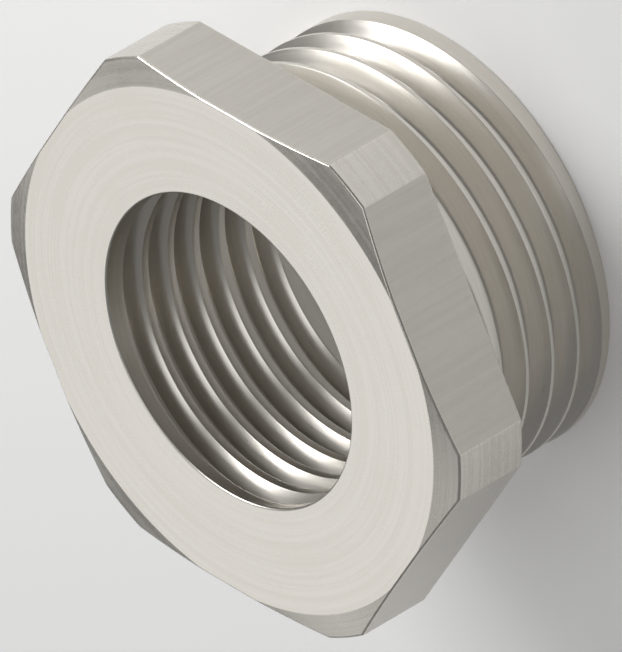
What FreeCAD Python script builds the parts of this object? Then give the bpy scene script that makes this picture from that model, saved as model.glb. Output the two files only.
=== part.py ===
import FreeCAD, Part
import math
import os

import Sketcher

# Hexagon reducer: a turned bar of brass with a male thread under a hexagon head,
# bored right through and threaded inside for a smaller fitting.
# Millimetres. +Z runs along the axis out of the head, and the origin is the centre
# of the seating face under the head. Corners of the hexagon lie on the X axis.

# Driving sizes, in millimetres and degrees. The first crest is the distance from the
# shank's end to the middle of the male thread's first crest, halfway between X and Y,
# and from the head's face to that of the female thread, on the other side of the axis.
# The neck is the least plain length between the male thread's groove and the head, and
# the bore end that between the female thread's groove and the shank's end.
SIZES = {
    "across_flats": 24,
    "corner_diameter": 26.5,
    "head_height": 4,
    "face_chamfer_angle": 15,
    "male_diameter": 20,
    "male_pitch": 1.5,
    "shank_length": 8.5,
    "female_diameter": 16,
    "female_pitch": 1.5,
    "first_crest": 0.6,
    "neck_length": 0.5,
    "bore_end_length": 1.5,
}

# Metric thread form, in shares of the pitch. The flanks lie at 30 degrees to the
# cross-section, the crests are flat, and the roots are left sharp. Male and female
# flanks overlap by five eighths of the height of the full V.
FLANK_SLOPE = "tan(30 deg)"
OVERLAP_PER_PITCH = f"(5 / 16 / {FLANK_SLOPE})"
MALE_CREST_SHARE = "(1 / 8)"
FEMALE_CREST_SHARE = "(1 / 4)"

# A groove's middle lies half a pitch past the crest, and the groove starts three
# eighths of a turn before the place where its first crest is measured.
START_SHARE = "(1 / 2 - 3 / 8)"

# Threaded walls are turned in quarters. A groove ends after a whole number of quarter
# turns, so that the crests lie on even strips of the wall.
QUARTERS = 4

# How far a cutting outline runs past the metal, in millimetres, or for a thread
# as a share of its pitch.
OVERRUN = 1
THREAD_OVERRUN_SHARE = "(1 / 16)"

# Heights of the end faces and radii of the walls, as expressions of the sizes.
HEAD_FACE = "Sizes.head_height"
SHANK_END = "(-Sizes.shank_length)"
FACE_CIRCLE = "Sizes.across_flats / 2"
CORNER_RADIUS = "Sizes.corner_diameter / 2"
BAR_CORNER = "Sizes.across_flats / 2 / cos(30 deg)"
MALE_RADIUS = "Sizes.male_diameter / 2"
FEMALE_RADIUS = "Sizes.female_diameter / 2"
BORE_RADIUS = f"({FEMALE_RADIUS} - Sizes.female_pitch * {OVERLAP_PER_PITCH})"

# A corner of a section on the axis, or level with the seating face.
ON_AXIS = None
AT_SEAT = None

# The sketcher's numbers for its own axes, and for the points of a line or circle.
VERTICAL_AXIS, HORIZONTAL_AXIS = range(-2, 0)
START, END, CENTRE = range(1, 4)


def make_sheet(doc):
    """The spreadsheet of driving sizes, one cell with an alias for each."""
    sheet = doc.addObject("Spreadsheet::Sheet", "Sizes")
    for row, (alias, value) in enumerate(SIZES.items(), start=1):
        cell = f"A{row}"
        sheet.set(cell, str(value))
        sheet.setAlias(cell, alias)
    doc.recompute()


def origin_feature(body, role):
    """The body's own origin plane or axis of this role, such as XZ_Plane."""
    return next(item for item in body.Origin.OriginFeatures if item.Role == role)


def new_sketch(body, name, plane):
    """An empty sketch on one of the body's origin planes."""
    sketch = body.newObject("Sketcher::SketchObject", name)
    sketch.AttachmentSupport = (origin_feature(body, plane), "")
    sketch.MapMode = "FlatFace"
    return sketch


def join_lines(sketch, points):
    """A closed ring of straight lines through these points, each joined to the next."""
    for start, end in zip(points, points[1:] + points[:1]):
        sketch.addGeometry(Part.LineSegment(start, end), False)
    for line in range(len(points)):
        before = (line - 1) % len(points)
        sketch.addConstraint(Sketcher.Constraint("Coincident", before, END, line, START))


def bind(sketch, constraint, name, expression):
    """Add a named constraint whose value follows an expression of the sizes."""
    index = sketch.addConstraint(constraint)
    sketch.renameConstraint(index, name)
    sketch.setExpression(f"Constraints.{name}", expression)


def pin_corner(sketch, line, direction, place, axis, expression):
    """Hold the start of a line at a distance from the origin, or on an axis of the sketch."""
    if expression is None:
        sketch.addConstraint(Sketcher.Constraint("PointOnObject", line, START, axis))
        return
    distance = Sketcher.Constraint(direction, HORIZONTAL_AXIS, START, line, START, place)
    bind(sketch, distance, f"{direction}_{line}", expression)


def draw_section(sketch, corners):
    """A closed outline of straight lines through corners of (radius, height).

    The corners start strung along a curve, and their constraints carry them into place.
    """
    places = [FreeCAD.Vector(step, step**2, 0) for step in range(1, len(corners) + 1)]
    join_lines(sketch, places)
    for line, (radius, height) in enumerate(corners):
        place = places[line]
        pin_corner(sketch, line, "DistanceX", place.x, VERTICAL_AXIS, radius)
        pin_corner(sketch, line, "DistanceY", place.y, HORIZONTAL_AXIS, height)


def check_volume(feature, adds):
    """Recompute, and stop unless the feature added or cut metal as it should."""
    feature.Document.recompute()
    before = feature.BaseFeature.Shape.Volume if feature.BaseFeature else 0.0
    change = feature.Shape.Volume - before
    if change == 0 or (change > 0) != adds:
        raise RuntimeError(f"{feature.Label} changed the volume by {change:.3f} cubic mm")


def turn_section(body, name, corners, adds):
    """Revolve a section about Z, as added metal or as a cut."""
    sketch = new_sketch(body, f"{name}Section", "XZ_Plane")
    draw_section(sketch, corners)
    kind = "PartDesign::Revolution" if adds else "PartDesign::Groove"
    feature = body.newObject(kind, name)
    feature.Profile = sketch
    feature.ReferenceAxis = (origin_feature(body, "Z_Axis"), [""])
    feature.Angle = 360
    check_volume(feature, adds)
    return feature


def turn_wall(body, name, corners, adds):
    """Revolve the section of a threaded wall by a quarter, and repeat it round the axis."""
    quarter = turn_section(body, name, corners, adds)
    quarter.Angle = 360 / QUARTERS
    quarter.Refine = False
    pattern = body.newObject("PartDesign::PolarPattern", f"{name}Quarters")
    pattern.Originals = [quarter]
    pattern.Axis = (origin_feature(body, "Z_Axis"), [""])
    pattern.Angle = 360
    pattern.Occurrences = QUARTERS
    pattern.Refine = False
    body.Tip = pattern
    check_volume(pattern, adds)


def pad_hexagon(body):
    """The hexagon bar of the head, seated on the XY plane with two flats square to Y."""
    sides = 6
    flat_radius = SIZES["across_flats"] / 2
    corner = FreeCAD.Vector(flat_radius / math.cos(math.pi / sides), 0, 0)
    centre = FreeCAD.Vector(0, 0, 0)
    up = FreeCAD.Vector(0, 0, 1)
    turns = [FreeCAD.Rotation(up, 360 * side / sides) for side in range(sides)]
    sketch = new_sketch(body, "HexagonOutline", "XY_Plane")
    join_lines(sketch, [turn.multVec(corner) for turn in turns])
    circle = sketch.addGeometry(Part.Circle(centre, up, flat_radius), True)
    at_origin = Sketcher.Constraint("Coincident", circle, CENTRE, HORIZONTAL_AXIS, START)
    sketch.addConstraint(at_origin)
    for side in range(sides):
        sketch.addConstraint(Sketcher.Constraint("Tangent", side, circle))
    for side in range(1, sides):
        sketch.addConstraint(Sketcher.Constraint("Equal", 0, side))
    back_flat = 1
    sketch.addConstraint(Sketcher.Constraint("Horizontal", back_flat))
    radius = Sketcher.Constraint("Radius", circle, flat_radius)
    bind(sketch, radius, "flat_radius", FACE_CIRCLE)
    pad = body.newObject("PartDesign::Pad", "HexagonBar")
    pad.Profile = sketch
    pad.setExpression("Length", HEAD_FACE)
    check_volume(pad, adds=True)


def turn_head(body):
    """Turn the six corners round, and chamfer the face down from a circle that meets the flats."""
    chamfer_drop = f"({CORNER_RADIUS} - {FACE_CIRCLE}) * tan(Sizes.face_chamfer_angle * 1 deg)"
    corners = [
        (CORNER_RADIUS, f"-{OVERRUN}"),
        (CORNER_RADIUS, f"{HEAD_FACE} - {chamfer_drop}"),
        (FACE_CIRCLE, HEAD_FACE),
        (FACE_CIRCLE, f"{HEAD_FACE} + {OVERRUN}"),
        (f"{BAR_CORNER} + {OVERRUN}", f"{HEAD_FACE} + {OVERRUN}"),
        (f"{BAR_CORNER} + {OVERRUN}", f"-{OVERRUN}"),
    ]
    turn_section(body, "TurnedCorners", corners, adds=False)


def turn_shank(body):
    """The shank under the head at the male thread's full diameter."""
    corners = [
        (ON_AXIS, AT_SEAT),
        (MALE_RADIUS, AT_SEAT),
        (MALE_RADIUS, SHANK_END),
        (ON_AXIS, SHANK_END),
    ]
    turn_wall(body, "Shank", corners, adds=True)


def bore_through(body):
    """The bore through head and shank, at the female thread's core diameter."""
    corners = [
        (ON_AXIS, f"{HEAD_FACE} + {OVERRUN}"),
        (BORE_RADIUS, f"{HEAD_FACE} + {OVERRUN}"),
        (BORE_RADIUS, f"{SHANK_END} - {OVERRUN}"),
        (ON_AXIS, f"{SHANK_END} - {OVERRUN}"),
    ]
    turn_wall(body, "Bore", corners, adds=False)


def groove_corners(crest_radius, inward, pitch, crest_share, middle):
    """The section of a V groove about its middle, its mouth a little past the crests.

    The radius of the crests has a minus sign for a section on the far side of the axis.
    inward is + or -, the way from the crests to the root along the sketch's first axis.
    """
    opening = f"{pitch} * (1 - {crest_share})"
    overrun = f"{pitch} * {THREAD_OVERRUN_SHARE}"
    outward = "-" if inward == "+" else "+"
    mouth_radius = f"{crest_radius} {outward} {overrun}"
    root_radius = f"{crest_radius} {inward} {opening} / 2 / {FLANK_SLOPE}"
    half_mouth = f"({opening} / 2 + {overrun} * {FLANK_SLOPE})"
    return [
        (mouth_radius, f"{middle} - {half_mouth}"),
        (root_radius, middle),
        (mouth_radius, f"{middle} + {half_mouth}"),
    ]


def wind_groove(body, name, plane, corners, pitch, room, upwards):
    """Cut a groove along a right-hand helix about Z, as long as its room allows.

    The room is the height from the groove's first middle to where its last may lie.
    """
    sketch = new_sketch(body, f"{name}Section", plane)
    draw_section(sketch, corners)
    helix = body.newObject("PartDesign::SubtractiveHelix", name)
    helix.Profile = sketch
    helix.ReferenceAxis = (origin_feature(body, "Z_Axis"), [""])
    helix.Mode = "pitch-height-angle"
    helix.Angle = 0
    helix.LeftHanded = False
    helix.Reversed = not upwards
    helix.Refine = False
    quarter = f"({pitch} / {QUARTERS})"
    helix.setExpression("Pitch", pitch)
    helix.setExpression("Height", f"floor(({room}) / {quarter}) * {quarter}")
    check_volume(helix, adds=False)


def cut_male_thread(body):
    """The male thread's groove, from near the shank's end up to the head."""
    pitch = "Sizes.male_pitch"
    lead = f"(Sizes.first_crest + {pitch} * {START_SHARE})"
    half_mouth = f"{pitch} * (1 - {MALE_CREST_SHARE}) / 2"
    room = f"Sizes.shank_length - Sizes.neck_length - {lead} - {half_mouth}"
    middle = f"({SHANK_END} + {lead})"
    corners = groove_corners(f"-{MALE_RADIUS}", "+", pitch, MALE_CREST_SHARE, middle)
    wind_groove(body, "MaleThread", "YZ_Plane", corners, pitch, room, upwards=True)


def cut_female_thread(body):
    """The female thread's groove, from near the bore's mouth down into the shank."""
    pitch = "Sizes.female_pitch"
    lead = f"(Sizes.first_crest + {pitch} * {START_SHARE})"
    half_mouth = f"{pitch} * (1 - {FEMALE_CREST_SHARE}) / 2"
    threaded = "Sizes.head_height + Sizes.shank_length - Sizes.bore_end_length"
    room = f"{threaded} - {lead} - {half_mouth}"
    middle = f"({HEAD_FACE} - {lead})"
    corners = groove_corners(BORE_RADIUS, "+", pitch, FEMALE_CREST_SHARE, middle)
    wind_groove(body, "FemaleThread", "XZ_Plane", corners, pitch, room, upwards=False)


def check_document(doc, bodies):
    """Stop if any object failed, or if a sub-part isn't one valid solid."""
    for item in doc.Objects:
        if "Invalid" in item.State or "Error" in item.State:
            raise RuntimeError(f"{item.Label} is in state {item.State}")
    for body in bodies:
        shape = body.Shape
        if shape.isNull() or not shape.isValid() or len(shape.Solids) != 1:
            raise RuntimeError(f"{body.Label} isn't one valid solid")


def main():
    doc = FreeCAD.newDocument("HexagonReducer")
    make_sheet(doc)
    body = doc.addObject("PartDesign::Body", "ReducerBody")
    body.Label = "reducer_body"
    pad_hexagon(body)
    turn_head(body)
    turn_shank(body)
    bore_through(body)
    cut_male_thread(body)
    cut_female_thread(body)
    check_document(doc, [body])
    os.makedirs("parts", exist_ok=True)
    body.Shape.exportStep(f"parts/{body.Label}.step")
    print(f"{body.Label}: {body.Shape.Volume:.2f} cubic mm")


main()
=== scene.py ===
"""A nickel-plated hexagon reducer on a pale floor, in soft studio light.

The reducer is one turned piece of brass. Its skin is a single closed surface over a grid:
one direction runs round the axis, and the other follows the metal's section from the
shank's end, over the outer thread, the seat, the head and its face, and back through the
bore. The thread rows of the grid climb with the helix.
"""

import logging
import math
from dataclasses import dataclass, field, replace
from enum import Enum
from typing import Union

import bmesh
import bpy
import numpy as np
from mathutils import Matrix, Vector


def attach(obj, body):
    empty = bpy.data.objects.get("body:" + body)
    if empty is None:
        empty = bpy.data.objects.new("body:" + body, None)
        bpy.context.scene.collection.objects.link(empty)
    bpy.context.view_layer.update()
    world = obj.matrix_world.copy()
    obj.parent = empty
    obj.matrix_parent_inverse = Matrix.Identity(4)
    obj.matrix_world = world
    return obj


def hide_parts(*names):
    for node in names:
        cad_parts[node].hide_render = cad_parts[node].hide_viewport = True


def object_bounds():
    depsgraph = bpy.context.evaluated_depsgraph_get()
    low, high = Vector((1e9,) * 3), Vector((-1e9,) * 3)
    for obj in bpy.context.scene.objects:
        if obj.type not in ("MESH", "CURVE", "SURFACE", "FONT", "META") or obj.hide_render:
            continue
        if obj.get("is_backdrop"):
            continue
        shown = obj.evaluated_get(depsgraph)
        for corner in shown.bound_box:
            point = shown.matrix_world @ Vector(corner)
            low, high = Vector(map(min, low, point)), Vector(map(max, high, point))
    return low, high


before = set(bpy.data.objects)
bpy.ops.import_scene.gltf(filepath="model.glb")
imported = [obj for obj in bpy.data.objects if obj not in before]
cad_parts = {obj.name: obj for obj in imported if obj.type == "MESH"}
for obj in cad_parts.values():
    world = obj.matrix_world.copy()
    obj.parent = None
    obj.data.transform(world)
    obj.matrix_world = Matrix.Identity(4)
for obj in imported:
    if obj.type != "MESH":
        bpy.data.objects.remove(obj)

LOG = logging.getLogger("reducer")
MILLIMETRE = 0.001
FULL_TURN = 2 * math.pi
FLANK_LEAN = math.radians(30)
SIDES = 6
SHORTEST_ROW_STEP = 1e-3
WELD_DISTANCE = 4e-7


def polar_points(radius: np.ndarray, angle: np.ndarray, height: np.ndarray) -> np.ndarray:
    """Points at a radius and a height in millimetres, and an angle round the Z axis in radians."""
    radius, angle, height = np.broadcast_arrays(radius, angle, height)
    return np.stack([radius * np.cos(angle), radius * np.sin(angle), height], axis=-1)


def ease(share: np.ndarray) -> np.ndarray:
    """A smooth step: 0 below a share of 0, 1 above 1, and 3 s squared less 2 s cubed between."""
    share = np.clip(share, 0, 1)
    return share * share * (3 - 2 * share)


def soft_min(first: np.ndarray, second: np.ndarray, width: float) -> np.ndarray:
    """The lesser of two values, rounded inwards where they differ by less than the width."""
    # It is the plain minimum, less a quarter of the width times the square of how close
    # the two are, as a share of the width.
    close = np.clip(width - np.abs(first - second), 0, None) / width
    return np.minimum(first, second) - close * close * width / 4


def quarter_round(distance: np.ndarray, radius: float) -> np.ndarray:
    """How far a rim of this radius falls away at a distance from the end face: a circle's arc."""
    inside = np.clip(radius - distance, 0, radius)
    return radius - np.sqrt(radius * radius - inside * inside)


def rounded_corner(corner: tuple, way_in: float, way_out: float, radius: float, steps: int) -> list:
    """A corner of an outline as an arc that touches both of its lines.

    The arc starts a tangent's length before the corner, the radius times the tangent of
    half the turn, and its points lie on a circle about one centre.

    Args:
        corner: the sharp corner.
        way_in: direction of the line before it, in radians.
        way_out: direction of the line after it, in radians.
        radius: the arc's radius.
        steps: how many pieces the arc has.

    Returns:
        The arc's points, in order.
    """
    side = 1 if way_out > way_in else -1
    tangent = radius * math.tan(abs(way_out - way_in) / 2)
    start = np.array(corner) - tangent * np.array([math.cos(way_in), math.sin(way_in)])
    centre = start + side * radius * np.array([-math.sin(way_in), math.cos(way_in)])
    angles = np.linspace(way_in, way_out, steps + 1)
    rim = side * radius * np.stack([np.sin(angles), -np.cos(angles)], axis=-1)
    return [tuple(point) for point in centre + rim]


class Side(Enum):
    """Which way a thread is cut: into a shank from outside, or into a bore from inside."""

    OUTER = -1
    INNER = 1


class Finish(Enum):
    """The surfaces of the reducer, each with a material slot of its own."""

    TURNED = 0
    DRAWN_FLAT = 1
    OUTER_THREAD = 2
    INNER_THREAD = 3


@dataclass(frozen=True)
class ThreadForm:
    """One pitch of a metric thread, as a depth below its crests, in millimetres."""

    pitch: float
    crest_flat: float
    root_flat: float
    crest_rounding: float
    root_rounding: float
    corner_steps: int = 3

    @property
    def depth(self) -> float:
        """Depth of the roots: half of what the two flats leave, over the tangent of the lean."""
        run = (self.pitch - self.crest_flat - self.root_flat) / 2
        return run / math.tan(FLANK_LEAN)

    def outline(self) -> tuple[np.ndarray, np.ndarray]:
        """The section of one pitch, from root to root with the crest in the middle.

        Each half is the crest's flat, an arc, a straight flank that falls at sixty degrees
        to the axis, a second arc and the root's flat.

        Returns:
            Places along the axis, measured from the crest's middle, and depths there.
        """
        flank = math.pi / 2 - FLANK_LEAN
        top = (self.crest_flat / 2, 0.0)
        bottom = ((self.pitch - self.root_flat) / 2, self.depth)
        first = rounded_corner(top, 0.0, flank, self.crest_rounding, self.corner_steps)
        second = rounded_corner(bottom, flank, 0.0, self.root_rounding, self.corner_steps)
        middle = tuple((np.array(first[-1]) + np.array(second[0])) / 2)
        half = [(0.0, 0.0), *first, middle, *second]
        if second[-1][0] < self.pitch / 2 - SHORTEST_ROW_STEP:
            half.append((self.pitch / 2, self.depth))
        along, depth = np.array(half).T
        return np.concatenate([-along[:0:-1], along]), np.concatenate([depth[:0:-1], depth])

    def depth_at(self, along: np.ndarray) -> np.ndarray:
        """Depth at places along the axis, which repeats from one crest's middle to the next.

        Args:
            along: places measured from a crest's middle, in millimetres.

        Returns:
            Depths below the crest.
        """
        places, depths = self.outline()
        wrapped = (along + self.pitch / 2) % self.pitch - self.pitch / 2
        return np.interp(wrapped, places, depths)


@dataclass(frozen=True)
class ThreadEnd:
    """One end of a threaded wall, in millimetres.

    The groove's middle is measured from the end face into the metal: the groove has no
    depth where its middle lies at groove_starts, and its full depth from groove_full.
    The wall meets the end face in a quarter-round of the radius rim, which adds metal where
    it flares and takes metal away elsewhere. Rows stay level within the band.
    """

    height: float
    rim: float
    groove_starts: float
    groove_full: float
    flares: bool = False
    band: float = 0.16
    row_spacing: float = 0.03
    rim_rows: int = 5

    def band_distances(self) -> np.ndarray:
        """Distances of the level rows from the end face, crowded where the rim is round.

        On the rim they are its radius times one less the sine of evenly turned angles,
        and past it they are evenly spaced.

        Returns:
            Distances in millimetres, rising from the end face.
        """
        arc = self.rim * (1 - np.sin(np.linspace(math.pi / 2, 0, self.rim_rows)))
        count = max(2, round((self.band - self.rim) / self.row_spacing))
        return np.concatenate([arc, np.linspace(self.rim, self.band, count + 1)[1:]])


@dataclass(frozen=True)
class ScrewThread:
    """A helical right-hand thread on the wall of a shank or a bore, between two ends.

    One crest passes crest_height at the azimuth crest_azimuth, and every crest climbs a
    pitch for each turn. Where a fading groove rises out of the metal, its corner is rounded
    within the softness.
    """

    form: ThreadForm
    side: Side
    crest_radius: float
    low: ThreadEnd
    high: ThreadEnd
    crest_height: float
    crest_azimuth: float
    softness: float = 0.05

    def climb(self, angle: np.ndarray) -> np.ndarray:
        """How far a crest has climbed at an angle: the pitch times the share of a turn."""
        return self.form.pitch * (angle - math.radians(self.crest_azimuth)) / FULL_TURN

    def groove_share(self, height: np.ndarray, angle: np.ndarray) -> np.ndarray:
        """The share of its depth that the groove nearest to each point has.

        The groove's middle is half a pitch past the crest below the point, and its share
        eases in with the distance of that middle from either end.

        Args:
            height: heights along the axis.
            angle: angles round it.

        Returns:
            Shares from 0 to 1.
        """
        along = height - self.crest_height - self.climb(angle)
        past_crest = (np.floor(along / self.form.pitch) + 0.5) * self.form.pitch
        middle = self.crest_height + self.climb(angle) + past_crest
        share = np.ones_like(middle)
        for end, inwards in ((self.low, 1), (self.high, -1)):
            inside = (middle - end.height) * inwards
            fade = end.groove_full - end.groove_starts
            share = share * ease((inside - end.groove_starts) / fade)
        return share

    def radius(self, height: np.ndarray, angle: np.ndarray) -> np.ndarray:
        """The wall's distance from the axis.

        It is the crest's radius, less or plus the groove's depth, cut back by the
        quarter-round of each rim. A fading groove keeps its section and rises out of the
        metal, so it narrows as it gets shallower.

        Args:
            height: heights along the axis.
            angle: angles round it.

        Returns:
            Radii in millimetres.
        """
        height, angle = np.broadcast_arrays(height, angle)
        lift = (1 - self.groove_share(height, angle)) * self.form.depth
        along = height - self.crest_height - self.climb(angle)
        depth = -soft_min(lift - self.form.depth_at(along), np.zeros_like(lift), self.softness)
        depth = np.where(lift > 0, np.clip(depth, 0, None), self.form.depth_at(along))
        cut = self.crest_radius * -self.side.value - depth
        for end in (self.low, self.high):
            fall = quarter_round(np.abs(height - end.height), end.rim)
            cut = cut + fall if end.flares else cut - fall
        return cut * -self.side.value

    def rows(self, angle: np.ndarray) -> np.ndarray:
        """Heights of the wall's grid rows, from the low end to the high end.

        Level rows cover a narrow band at each end. Between the bands the rows climb with
        the helix, one for every point of the thread's section in every pitch, and are
        held at the bands' edges where they would pass them.

        Args:
            angle: angles of the grid's columns.

        Returns:
            Heights with a row for each grid row and a column for each angle.
        """
        low_edge = self.low.height + self.low.band
        high_edge = self.high.height - self.high.band
        pitch = self.form.pitch
        climb = self.climb(angle)
        first = math.floor((low_edge - self.crest_height - climb.max()) / pitch) - 1
        last = math.ceil((high_edge - self.crest_height - climb.min()) / pitch) + 1
        section = self.form.outline()[0][:-1]
        starts = self.crest_height + pitch * np.arange(first, last + 1)
        helical = (starts[:, None] + section[None, :]).reshape(-1, 1) + climb[None, :]
        used = (helical.max(axis=1) > low_edge) & (helical.min(axis=1) < high_edge)
        helical = np.clip(helical[used], low_edge, high_edge)
        level = np.ones_like(angle)[None, :]
        low = (self.low.height + self.low.band_distances())[:, None] * level
        high = (self.high.height - self.high.band_distances())[::-1, None] * level
        return np.concatenate([low, helical, high])

    def wall(self, angle: np.ndarray) -> np.ndarray:
        """Points of the wall, a row for each of its rows, from the low end to the high end."""
        heights = self.rows(angle)
        return polar_points(self.radius(heights, angle[None, :]), angle[None, :], heights)


@dataclass(frozen=True)
class HexagonHead:
    """The hexagon head: six drawn flats, turned corners and a chamfered face, in millimetres.

    The turns are the directions of the rows on each rounded edge, in degrees from level,
    and the shares say how far along a straight line its rows lie. The columns are counted
    for half a side: on the flat, on its upright edge and on the turned corner. Holding is
    how near to an edge the next row or column lies, which keeps the edge crisp.
    """

    across_flats: float = 24.0
    corner_diameter: float = 26.5
    height: float = 4.0
    chamfer_angle: float = 15.0
    face_edge: float = 0.12
    seat_edge: float = 0.08
    upright_edge: float = 0.22
    holding: float = 0.05
    seat_turns: tuple = (-90, -60, -30, 0)
    side_shares: tuple = (0.015, 0.25, 0.5, 0.75, 0.985)
    rim_turns: tuple = (0, 15, 30, 45, 60, 75)
    chamfer_shares: tuple = (0.04, 0.5, 0.96)
    fold_turns: tuple = (75, 82.5, 90)
    flat_columns: int = 14
    edge_columns: int = 4
    corner_columns: int = 4

    def upright_angles(self) -> tuple[float, float]:
        """Where the upright edge's rounding starts and ends, as angles from a flat's middle.

        The rounding's centre lies where lines a radius inside the flat and inside the
        turned corner meet.

        Returns:
            The angle of its end on the flat, and of its end on the corner.
        """
        inner_flat = self.across_flats / 2 - self.upright_edge
        inner_corner = self.corner_diameter / 2 - self.upright_edge
        on_corner = math.acos(inner_flat / inner_corner)
        on_flat = math.atan2(inner_corner * math.sin(on_corner), self.across_flats / 2)
        return on_flat, on_corner

    def columns(self) -> np.ndarray:
        """Angles of the grid's columns for a whole turn, both ends included.

        One side's share of a turn runs from the middle of a corner to the next, with
        columns crowded at its two upright edges.

        Returns:
            Angles in radians, rising.
        """
        on_flat, on_corner = self.upright_angles()
        hold = self.holding / (self.across_flats / 2)
        middle = FULL_TURN / SIDES / 2
        flat = np.linspace(0, on_flat - hold, self.flat_columns)
        edge = np.linspace(on_flat, on_corner, self.edge_columns)
        corner = np.linspace(on_corner + hold, middle, self.corner_columns)
        half = np.concatenate([flat, edge, corner])
        sector = np.concatenate([middle - half[:0:-1], middle + half[:-1]])
        turns = [sector + FULL_TURN * side / SIDES for side in range(SIDES)]
        return np.append(np.concatenate(turns), FULL_TURN)

    def from_flat(self, angle: np.ndarray) -> np.ndarray:
        """The angle between each direction and the middle of its nearest flat."""
        sector = FULL_TURN / SIDES
        return np.abs((angle % sector) - sector / 2)

    def side_radius(self, angle: np.ndarray) -> np.ndarray:
        """Radius of the head's side: a flat, a rounded upright edge or a turned corner.

        A flat's radius is half the width over the cosine of the angle from its middle,
        and the rounded edge is where the ray meets its circle.

        Args:
            angle: angles of the grid's columns.

        Returns:
            Radii in millimetres.
        """
        turn = self.from_flat(angle)
        on_flat, on_corner = self.upright_angles()
        flat = self.across_flats / 2 / np.cos(turn)
        reach = self.corner_diameter / 2 - self.upright_edge
        across = reach * np.sin(turn - on_corner)
        edge = reach * np.cos(turn - on_corner)
        edge = edge + np.sqrt(np.clip(self.upright_edge**2 - across**2, 0, None))
        radius = np.where(turn < on_flat, flat, edge)
        return np.where(turn > on_corner, self.corner_diameter / 2, radius)

    def side_rows(self) -> np.ndarray:
        """Which of the section's cells are the head's straight side, from the seat's rim on."""
        first = len(self.seat_turns) - 1
        return np.arange(first, first + len(self.side_shares) + 1)

    def arc(self, radius: np.ndarray, height: np.ndarray, rounding: float, angles: tuple) -> list:
        """Rows of a rounded edge: its centre, plus the rounding in each direction.

        Args:
            radius: the centre's radius in each column.
            height: the centre's height in each column.
            rounding: the edge's radius.
            angles: directions from level, in degrees, one for each row.

        Returns:
            A radius and a height for each row.
        """
        turns = [math.radians(turn) for turn in angles]
        return [
            (radius + rounding * math.cos(turn), height + rounding * math.sin(turn))
            for turn in turns
        ]

    def straight(self, start: tuple, end: tuple, shares: tuple) -> list:
        """Rows along a straight line in the section, at these shares of the way."""
        return [tuple(a + (b - a) * share for a, b in zip(start, end)) for share in shares]

    def section(self, angle: np.ndarray) -> list:
        """The head's section in each column, from the seat's rim to the face.

        Every rounded edge is the section shrunk by its radius and grown again. Where the
        chamfer runs out in the middle of a flat, its two edges meet at one centre.

        Args:
            angle: angles of the grid's columns.

        Returns:
            A radius and a height for each row.
        """
        lean = math.radians(self.chamfer_angle)
        side = self.side_radius(angle)
        level = np.ones_like(side)
        rounding = self.face_edge
        inner = side - rounding
        crease = self.across_flats / 2 - rounding * math.tan(lean / 2)
        top = self.height - rounding
        drop = (inner - self.across_flats / 2) * math.tan(lean)
        cone = self.height - drop - rounding / math.cos(lean)
        seat_centre = (side - self.seat_edge, self.seat_edge * level)
        low_centre = (inner, np.minimum(cone, top))
        high_centre = (np.minimum(inner, crease), top * level)
        seat = self.arc(*seat_centre, self.seat_edge, self.seat_turns)
        rim = self.arc(*low_centre, rounding, self.rim_turns)
        fold = self.arc(*high_centre, rounding, self.fold_turns)
        wall = self.straight(seat[-1], rim[0], self.side_shares)
        chamfer = self.straight(rim[-1], fold[0], self.chamfer_shares)
        return [*seat, *wall, *rim, *chamfer, *fold]


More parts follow.
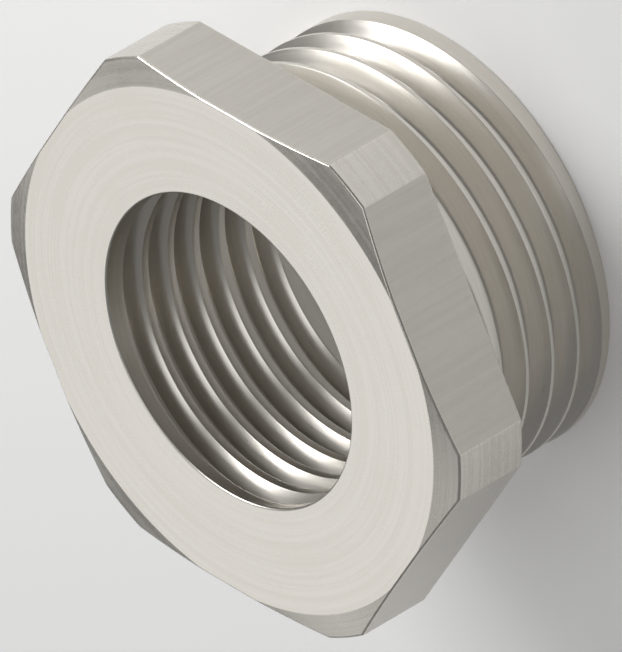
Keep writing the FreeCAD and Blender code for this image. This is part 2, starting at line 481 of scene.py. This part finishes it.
@dataclass(frozen=True)
class Reducer:
    """The whole reducer: a head on a shank threaded outside, bored and threaded inside.

    Heights run along the axis from the seat, upwards through the head. Lengths are in
    millimetres, and the crests' azimuths in degrees.
    """

    head: HexagonHead = field(default_factory=HexagonHead)
    male_radius: float = 10.0
    shank_length: float = 8.5
    bore_radius: float = 7.188
    edge_break: float = 0.1
    first_crest: float = 0.6
    pitch: float = 1.5
    outer_azimuth: float = 45.0
    inner_azimuth: float = 225.0
    ring_rows: int = 5
    face_rows: int = 8

    def outer_thread(self) -> ScrewThread:
        """The male thread on the shank, with rounded roots, fading out below the seat.

        Returns:
            The thread.
        """
        form = ThreadForm(
            pitch=self.pitch,
            crest_flat=self.pitch / 8,
            root_flat=self.pitch / 6,
            crest_rounding=0.05,
            root_rounding=0.2165,
            corner_steps=4,
        )
        return ScrewThread(
            form=form,
            side=Side.OUTER,
            crest_radius=self.male_radius,
            low=ThreadEnd(-self.shank_length, self.edge_break, groove_starts=0.55, groove_full=1.0),
            high=ThreadEnd(0.0, self.edge_break, groove_starts=1.1, groove_full=1.6, flares=True),
            crest_height=-self.shank_length + self.first_crest,
            crest_azimuth=self.outer_azimuth,
        )

    def inner_thread(self) -> ScrewThread:
        """The female thread in the bore, which leaves the shank's end of it plain.

        Returns:
            The thread.
        """
        form = ThreadForm(
            pitch=self.pitch,
            crest_flat=self.pitch / 4,
            root_flat=self.pitch / 8,
            crest_rounding=0.05,
            root_rounding=0.1,
            corner_steps=3,
        )
        return ScrewThread(
            form=form,
            side=Side.INNER,
            crest_radius=self.bore_radius,
            low=ThreadEnd(-self.shank_length, self.edge_break, groove_starts=2.1, groove_full=2.6),
            high=ThreadEnd(self.head.height, self.edge_break, groove_starts=0.55, groove_full=1.0),
            crest_height=self.head.height - self.first_crest,
            crest_azimuth=self.inner_azimuth,
        )

    def flat_ring(
        self, start: np.ndarray, end: np.ndarray, angle: np.ndarray, count: int
    ) -> np.ndarray:
        """Rows of a flat ring between two rims that are already rows of their own.

        The first and the last row keep close to the rims and hold them sharp, and the
        others share out what lies between.

        Args:
            start: points of the rim that the ring starts from.
            end: points of the rim that it runs to.
            angle: angles of the grid's columns.
            count: how many rows there are between the two rims.

        Returns:
            The points of the rows.
        """
        start_radius = np.hypot(start[:, 0], start[:, 1])
        end_radius = np.hypot(end[:, 0], end[:, 1])
        way = np.sign(end_radius - start_radius)
        shares = np.linspace(0, 1, count)[:, None]
        first = start_radius + way * self.head.holding
        last = end_radius - way * self.head.holding
        radius = first + (last - first) * shares
        return polar_points(radius, angle[None, :], start[None, :, 2])

    def surface(self) -> tuple[np.ndarray, np.ndarray]:
        """The closed skin, as one grid that runs once round the section.

        Returns:
            Points of the grid, and the finish of each cell between its rows and columns.
        """
        angle = self.head.columns()
        shank = self.outer_thread().wall(angle)
        bore = self.inner_thread().wall(angle)[::-1]
        outline = self.head.section(angle)
        head = np.stack([polar_points(radius, angle, height) for radius, height in outline])
        end_ring = self.flat_ring(bore[-1], shank[0], angle, self.ring_rows)
        seat_ring = self.flat_ring(shank[-1], head[0], angle, self.ring_rows)
        face_ring = self.flat_ring(head[-1], bore[0], angle, self.face_rows)
        parts = [
            (end_ring, Finish.TURNED),
            (shank, Finish.OUTER_THREAD),
            (seat_ring, Finish.TURNED),
            (head, Finish.TURNED),
            (face_ring, Finish.TURNED),
            (bore, Finish.INNER_THREAD),
            (end_ring[:1], Finish.TURNED),
        ]
        points = np.concatenate([part for part, _ in parts])
        slots = np.concatenate([np.full(len(part), finish.value) for part, finish in parts])
        cells = np.repeat(slots[:-1, None], len(angle) - 1, axis=1)
        start = len(end_ring) + len(shank) + len(seat_ring)
        flat_edge, _ = self.head.upright_angles()
        on_flat = self.head.from_flat((angle[:-1] + angle[1:]) / 2) < flat_edge
        wall = start + self.head.side_rows()
        # The flats take the drawn finish, whose darker colour is partly painted shade on the head's
        # sides.
        cells[np.ix_(wall, np.flatnonzero(on_flat))] = Finish.DRAWN_FLAT.value
        return points, cells

    def build(self, name: str) -> bpy.types.Object:
        """Put the skin into a mesh, and weld its seams.

        Each cell of the grid is a face whose corners go round the axis first and along
        the section next, which turns it outwards. Welding joins the seam of the turn,
        and drops the cells that the ends of the thread hold flat.

        Args:
            name: the object's name.

        Returns:
            The object, at the origin, with its place in its mesh.
        """
        points, cells = self.surface()
        rows, columns = points.shape[:2]
        corner = np.arange(rows * columns).reshape(rows, columns)
        row, following = corner[:-1], corner[1:]
        quads = np.stack([row[:, :-1], row[:, 1:], following[:, 1:], following[:, :-1]], axis=-1)
        mesh = bpy.data.meshes.new(name)
        mesh.from_pydata((points * MILLIMETRE).reshape(-1, 3), [], quads.reshape(-1, 4))
        mesh.polygons.foreach_set("material_index", cells.reshape(-1).astype(np.int32))
        mesh.polygons.foreach_set("use_smooth", np.ones(len(mesh.polygons), dtype=bool))
        self.weld(mesh)
        piece = bpy.data.objects.new(name, mesh)
        bpy.context.scene.collection.objects.link(piece)
        return piece

    def weld(self, mesh: bpy.types.Mesh) -> None:
        """Merge points that coincide, and stop unless the skin is closed.

        Args:
            mesh: the mesh to weld.
        """
        work = bmesh.new()
        work.from_mesh(mesh)
        bmesh.ops.remove_doubles(work, verts=work.verts, dist=WELD_DISTANCE)
        bmesh.ops.triangulate(work, faces=work.faces)
        open_edges = sum(not edge.is_manifold for edge in work.edges)
        volume = work.calc_volume(signed=True) / MILLIMETRE**3
        facts = (len(work.faces), open_edges, volume)
        LOG.info("skin: %d triangles, %d open edges, %.1f cubic mm", *facts)
        work.to_mesh(mesh)
        work.free()
        if open_edges or volume <= 0:
            raise RuntimeError("the reducer's skin is open or inside out")


Number = Union["Signal", float, int]

# The Mix node repeats its sockets' names for each kind of value, so colours go by number.
MIX_FACTOR = 0
MIX_LOW = 6
MIX_HIGH = 7
MIX_RESULT = 2


class Signal:
    """A number that varies over a surface, with the arithmetic of Math nodes."""

    def __init__(self, tree: "ShaderTree", socket: bpy.types.NodeSocket) -> None:
        """Wrap one output socket of a material's nodes."""
        self.tree = tree
        self.socket = socket

    def combine(self, operation: str, *values: Number) -> "Signal":
        """Add a Math node of this operation on these values, and wrap its result."""
        node = self.tree.add("ShaderNodeMath", {"operation": operation}, dict(enumerate(values)))
        return Signal(self.tree, node.outputs[0])

    def __add__(self, other: Number) -> "Signal":
        """This plus the other."""
        return self.combine("ADD", self, other)

    __radd__ = __add__

    def __sub__(self, other: Number) -> "Signal":
        """This less the other."""
        return self.combine("SUBTRACT", self, other)

    def __rsub__(self, other: Number) -> "Signal":
        """The other less this."""
        return self.combine("SUBTRACT", other, self)

    def __mul__(self, other: Number) -> "Signal":
        """This times the other."""
        return self.combine("MULTIPLY", self, other)

    __rmul__ = __mul__

    def __truediv__(self, other: Number) -> "Signal":
        """This over the other."""
        return self.combine("DIVIDE", self, other)

    def __rtruediv__(self, other: Number) -> "Signal":
        """The other over this."""
        return self.combine("DIVIDE", other, self)

    def __pow__(self, other: Number) -> "Signal":
        """This to the power of the other."""
        return self.combine("POWER", self, other)

    def __rpow__(self, other: Number) -> "Signal":
        """The other to the power of this."""
        return self.combine("POWER", other, self)

    def limited(self, low: float, high: float) -> "Signal":
        """This, kept between two values."""
        return self.combine("MINIMUM", self.combine("MAXIMUM", self, low), high)

    def stepped(self, low: float, high: float) -> "Signal":
        """A smooth step of this, 0 below low and 1 above high.

        Args:
            low: where the step starts.
            high: where it ends.

        Returns:
            The step, from 0 to 1.
        """
        settings = {"interpolation_type": "SMOOTHSTEP"}
        sockets = {"Value": self, "From Min": low, "From Max": high}
        return Signal(self.tree, self.tree.add("ShaderNodeMapRange", settings, sockets).outputs[0])


class ShaderTree:
    """The nodes of one material."""

    def __init__(self, material: bpy.types.Material) -> None:
        """Empty the material's nodes, ready for new ones.

        Args:
            material: the material.
        """
        material.use_nodes = True
        self.nodes = material.node_tree.nodes
        self.links = material.node_tree.links
        self.nodes.clear()

    def add(self, kind: str, settings: dict, sockets: dict) -> bpy.types.Node:
        """Add a node, set it, then fill its sockets.

        Args:
            kind: the node's type.
            settings: properties of the node, by name.
            sockets: a value or a link for each input, by name or number.

        Returns:
            The node.
        """
        node = self.nodes.new(kind)
        for name, value in settings.items():
            setattr(node, name, value)
        for key, value in sockets.items():
            source = value.socket if isinstance(value, Signal) else value
            if isinstance(source, bpy.types.NodeSocket):
                self.links.new(source, node.inputs[key])
            else:
                node.inputs[key].default_value = source
        return node

    def object_place(self) -> tuple[Signal, Signal, Signal]:
        """The place on the object.

        Returns:
            Its x, y and z, in millimetres.
        """
        place = self.add("ShaderNodeTexCoord", {}, {}).outputs["Object"]
        sockets = {0: place, "Scale": 1 / MILLIMETRE}
        scaled = self.add("ShaderNodeVectorMath", {"operation": "SCALE"}, sockets)
        split = self.add("ShaderNodeSeparateXYZ", {}, {0: scaled.outputs[0]})
        return tuple(Signal(self, output) for output in split.outputs)

    def noise(self, place: tuple, detail: float, roughness: float) -> Signal:
        """Noise from 0 to 1 over a place given by three numbers.

        Args:
            place: the three numbers, each already scaled to the size of the grain.
            detail: how many finer layers it has.
            roughness: how strong those are.

        Returns:
            The noise.
        """
        vector = self.add("ShaderNodeCombineXYZ", {}, dict(enumerate(place))).outputs[0]
        sockets = {"Vector": vector, "Scale": 1.0, "Detail": detail, "Roughness": roughness}
        node = self.add("ShaderNodeTexNoise", {"noise_dimensions": "3D"}, sockets)
        return Signal(self, node.outputs[0])

    def mixed(self, factor: Signal, low: tuple, high: tuple) -> bpy.types.NodeSocket:
        """A colour between two others.

        Args:
            factor: 0 for the first colour and 1 for the second.
            low: the first colour.
            high: the second colour.

        Returns:
            The colour's socket.
        """
        sockets = {MIX_FACTOR: factor, MIX_LOW: (*low, 1.0), MIX_HIGH: (*high, 1.0)}
        node = self.add("ShaderNodeMix", {"data_type": "RGBA"}, sockets)
        return node.outputs[MIX_RESULT]


class Lay(Enum):
    """Which way a surface's fine marks run."""

    ROUND_THE_AXIS = "round"
    ALONG_THE_AXIS = "along"


@dataclass(frozen=True)
class NickelPlate:
    """Satin nickel plate over turned or drawn brass. Sizes are in millimetres.

    Three patterns vary it: a slow cloud, the tool's marks and a fine pebble. The shares
    weigh them in that order, and the marks have their length at typical_radius.
    """

    name: str
    lay: Lay
    colour: tuple = (0.73, 0.70, 0.65)
    deep_colour: tuple = (0.69, 0.66, 0.605)
    roughness: float = 0.28
    roughness_spread: float = 0.08
    mark_width: float = 0.12
    mark_depth: float = 0.0022
    mark_length: float = 6.0
    pebble_width: float = 0.35
    pebble_depth: float = 0.0008
    cloud_scale: float = 0.35
    typical_radius: float = 10.0
    tone_shares: tuple = (0.25, 0.6, 0.15)
    tone_range: tuple = (0.37, 0.63)
    roughness_shares: tuple = (0.6, 1.0, 0.4)
    roughness_limits: tuple = (0.12, 0.7)

    def marks(self, tree: ShaderTree, x: Signal, y: Signal, z: Signal) -> Signal:
        """Tool or drawing marks: noise that is narrow across them and long along them.

        Round the axis, the narrow directions are the radius and the height. Along the
        axis, the narrow direction is the way round. The way round is read from the unit
        vector of x and y, so that it has no seam.

        Args:
            tree: the material's nodes.
            x: place across.
            y: place across, square to x.
            z: place along the axis.

        Returns:
            Noise from 0 to 1.
        """
        radius = (x * x + y * y) ** 0.5
        way_x = x / radius
        way_y = y / radius
        if self.lay is Lay.ROUND_THE_AXIS:
            across = radius / self.mark_width
            upwards = z / self.mark_width
            turn = self.typical_radius / self.mark_length
            place = (across + way_x * turn, upwards + way_y * turn, way_x * turn)
        else:
            turn = self.typical_radius / self.mark_width
            place = (way_x * turn, way_y * turn, z / self.mark_length)
        return tree.noise(place, detail=2.0, roughness=0.6)

    def weighed(self, shares: tuple, patterns: tuple) -> Signal:
        """The sum of three patterns, each times its share."""
        first, second, third = (pattern * share for pattern, share in zip(patterns, shares))
        return first + second + third

    def material(self) -> bpy.types.Material:
        """Make the finish's material.

        Colour and roughness follow slow clouds of the plate and its fine marks, and the
        relief adds the marks to a faint pebble of the plate.

        Returns:
            The material.
        """
        material = bpy.data.materials.new(self.name)
        tree = ShaderTree(material)
        x, y, z = tree.object_place()
        marks = self.marks(tree, x, y, z)
        slow = tuple(value * self.cloud_scale for value in (x, y, z))
        cloud = tree.noise(slow, detail=3.0, roughness=0.5)
        fine = tuple(value / self.pebble_width for value in (x, y, z))
        pebble = tree.noise(fine, detail=2.0, roughness=0.5)
        patterns = (cloud, marks, pebble)
        tone = self.weighed(self.tone_shares, patterns).stepped(*self.tone_range)
        colour = tree.mixed(tone, self.deep_colour, self.colour)
        uneven = self.weighed(self.roughness_shares, patterns) - sum(self.roughness_shares) / 2
        roughness = self.roughness + self.roughness_spread * uneven
        roughness = roughness.limited(*self.roughness_limits)
        relief = marks * self.mark_depth + pebble * self.pebble_depth
        bump = tree.add(
            "ShaderNodeBump", {}, {"Strength": 1.0, "Distance": MILLIMETRE, "Height": relief}
        )
        shader = tree.add(
            "ShaderNodeBsdfPrincipled",
            {},
            {
                "Base Color": colour,
                "Metallic": 1.0,
                "Roughness": roughness,
                "Normal": bump.outputs[0],
            },
        )
        tree.add("ShaderNodeOutputMaterial", {}, {"Surface": shader.outputs[0]})
        return material


THREAD_NICKEL = NickelPlate(
    "outer_thread_nickel",
    Lay.ROUND_THE_AXIS,
    roughness=0.3,
    mark_width=0.09,
    mark_depth=0.0014,
    mark_length=14.0,
)

FINISHES = {
    Finish.TURNED: NickelPlate(
        "turned_nickel",
        Lay.ROUND_THE_AXIS,
        deep_colour=(0.655, 0.625, 0.57),
        roughness_spread=0.14,
        mark_width=0.2,
        mark_length=16.0,
    ),
    # The drawn flats' colour is darker than the turned metal's. This is partly a duller drawn
    # finish and partly painted shade, which keeps the head's sides darker than its face and
    # corners.
    Finish.DRAWN_FLAT: NickelPlate(
        "drawn_nickel_and_painted_shade",
        Lay.ALONG_THE_AXIS,
        colour=(0.59, 0.565, 0.52),
        deep_colour=(0.55, 0.525, 0.48),
        roughness=0.3,
        mark_width=0.16,
        mark_depth=0.0008,
    ),
    Finish.OUTER_THREAD: THREAD_NICKEL,
    Finish.INNER_THREAD: replace(THREAD_NICKEL, name="inner_thread_nickel"),
}


@dataclass(frozen=True)
class SoftLamp:
    """A square lamp aimed at the reducer, placed by its direction. Lengths are in metres."""

    name: str
    azimuth: float
    elevation: float
    distance: float
    width: float
    brightness: float

    def build(self) -> bpy.types.Object:
        """Make the lamp. Its power is pi times its area times its brightness.

        Returns:
            The lamp's object.
        """
        turn, rise = math.radians(self.azimuth), math.radians(self.elevation)
        level = math.cos(rise)
        way = Vector((math.cos(turn) * level, math.sin(turn) * level, math.sin(rise)))
        light = bpy.data.lights.new(self.name, "AREA")
        light.shape = "SQUARE"
        light.size = self.width
        light.energy = math.pi * self.width**2 * self.brightness
        lamp = bpy.data.objects.new(self.name, light)
        bpy.context.scene.collection.objects.link(lamp)
        lamp.location = way * self.distance
        lamp.rotation_mode = "QUATERNION"
        lamp.rotation_quaternion = way.to_track_quat("Z", "Y")
        return lamp


@dataclass(frozen=True)
class Studio:
    """The pale floor, the lamps, the surroundings and the camera. Lengths are in metres."""

    floor_height: float
    floor_width: float = 3.0
    floor_colour: tuple = (0.97, 0.97, 0.965)
    floor_shade: tuple = (0.94, 0.94, 0.935)
    floor_glow: float = 0.1
    floor_roughness: float = 0.9
    floor_cloud_scale: float = 0.02
    surroundings: float = 0.2
    lens: float = 1500.0
    sensor: float = 36.0
    view_height: float = 0.02706
    aim: tuple = (0.002005, 0.000866, 0.001129)
    clip: tuple = (0.01, 5.0)
    lamps: tuple = (
        SoftLamp(
            name="key_softbox",
            azimuth=140.0,
            elevation=36.0,
            distance=0.16,
            width=0.10,
            brightness=5.0,
        ),
        SoftLamp(
            name="back_softbox",
            azimuth=225.0,
            elevation=38.0,
            distance=0.6,
            width=0.40,
            brightness=0.85,
        ),
        SoftLamp(
            name="top_softbox",
            azimuth=60.0,
            elevation=80.0,
            distance=0.6,
            width=0.30,
            brightness=1.3,
        ),
    )

    def floor(self) -> bpy.types.Object:
        """A flat square under the reducer, a grid of four corners at one height.

        Returns:
            The floor's object.
        """
        half = self.floor_width / 2
        x, y = np.meshgrid([-half, half], [-half, half])
        points = np.stack([x, y, np.full_like(x, self.floor_height)], axis=-1)
        mesh = bpy.data.meshes.new("floor")
        mesh.from_pydata(points.reshape(-1, 3), [], [(0, 1, 3, 2)])
        floor = bpy.data.objects.new("floor", mesh)
        bpy.context.scene.collection.objects.link(floor)
        floor.data.materials.append(self.floor_material())
        return floor

    def floor_material(self) -> bpy.types.Material:
        """A matte pale paper, with a faint unevenness.

        It is a little paler where it is seen, by the camera or in a reflection, than where
        it lights the metal.

        Returns:
            The material.
        """
        material = bpy.data.materials.new("pale_floor")
        tree = ShaderTree(material)
        x, y, z = tree.object_place()
        place = tuple(value * self.floor_cloud_scale for value in (x, y, z))
        cloud = tree.noise(place, detail=2.0, roughness=0.5)
        colour = tree.mixed(cloud, self.floor_shade, self.floor_colour)
        rays = tree.add("ShaderNodeLightPath", {}, {}).outputs
        kinds = ("Is Camera Ray", "Is Glossy Ray", "Is Transmission Ray")
        camera, glossy, through = (Signal(tree, rays[kind]) for kind in kinds)
        seen = (camera + glossy + through).limited(0.0, 1.0)
        glow = tree.mixed(seen, (0.0, 0.0, 0.0), self.floor_colour)
        shader = tree.add(
            "ShaderNodeBsdfPrincipled",
            {},
            {
                "Base Color": colour,
                "Roughness": self.floor_roughness,
                "Emission Color": glow,
                "Emission Strength": self.floor_glow,
            },
        )
        tree.add("ShaderNodeOutputMaterial", {}, {"Surface": shader.outputs[0]})
        return material

    def surround(self) -> None:
        """Light from all round, at one plain level."""
        world = bpy.data.worlds.new("studio")
        world.use_nodes = True
        background = world.node_tree.nodes["Background"]
        background.inputs["Color"].default_value = (1.0, 1.0, 1.0, 1.0)
        background.inputs["Strength"].default_value = self.surroundings
        bpy.context.scene.world = world

    def camera(self) -> bpy.types.Object:
        """A far camera with a long lens, along the drawing's isometric direction.

        The drawing's right is the X axis less the Z axis, and its up is the Y axis seen
        along the diagonal. The picture is taller than wide, so the sensor spans its height,
        and the distance is the height seen times the lens over the sensor.

        Returns:
            The camera's object.
        """
        back = Vector((1, 1, 1)).normalized()
        right = Vector((1, 0, -1)).normalized()
        up = back.cross(right)
        data = bpy.data.cameras.new("camera")
        data.lens = self.lens
        data.sensor_width = self.sensor
        data.clip_start, data.clip_end = self.clip
        camera = bpy.data.objects.new("camera", data)
        bpy.context.scene.collection.objects.link(camera)
        turned = Matrix((right, up, back)).transposed().to_4x4()
        place = Vector(self.aim) + back * (self.view_height * self.lens / self.sensor)
        camera.matrix_world = Matrix.Translation(place) @ turned
        bpy.context.scene.camera = camera
        return camera

    def build(self) -> None:
        """Set up the studio, and mark its floor as stage."""
        self.floor()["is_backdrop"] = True
        self.surround()
        for lamp in self.lamps:
            lamp.build()
        self.camera()
        bpy.context.scene.view_settings.view_transform = "Standard"


def main() -> None:
    """Build the reducer and its studio, in order."""
    logging.basicConfig(level=logging.INFO, format="%(message)s")
    cad_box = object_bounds()
    reducer = Reducer()
    piece = reducer.build("hexagon_reducer")
    for finish in Finish:
        piece.data.materials.append(FINISHES[finish].material())
    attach(piece, "root")
    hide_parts("reducer_body")
    LOG.info("hexagon_reducer: built and dressed in %d finishes", len(FINISHES))
    Studio(floor_height=cad_box[0].z).build()
    LOG.info("studio: floor, lamps and camera in place")


if __name__ == "__main__":
    main()
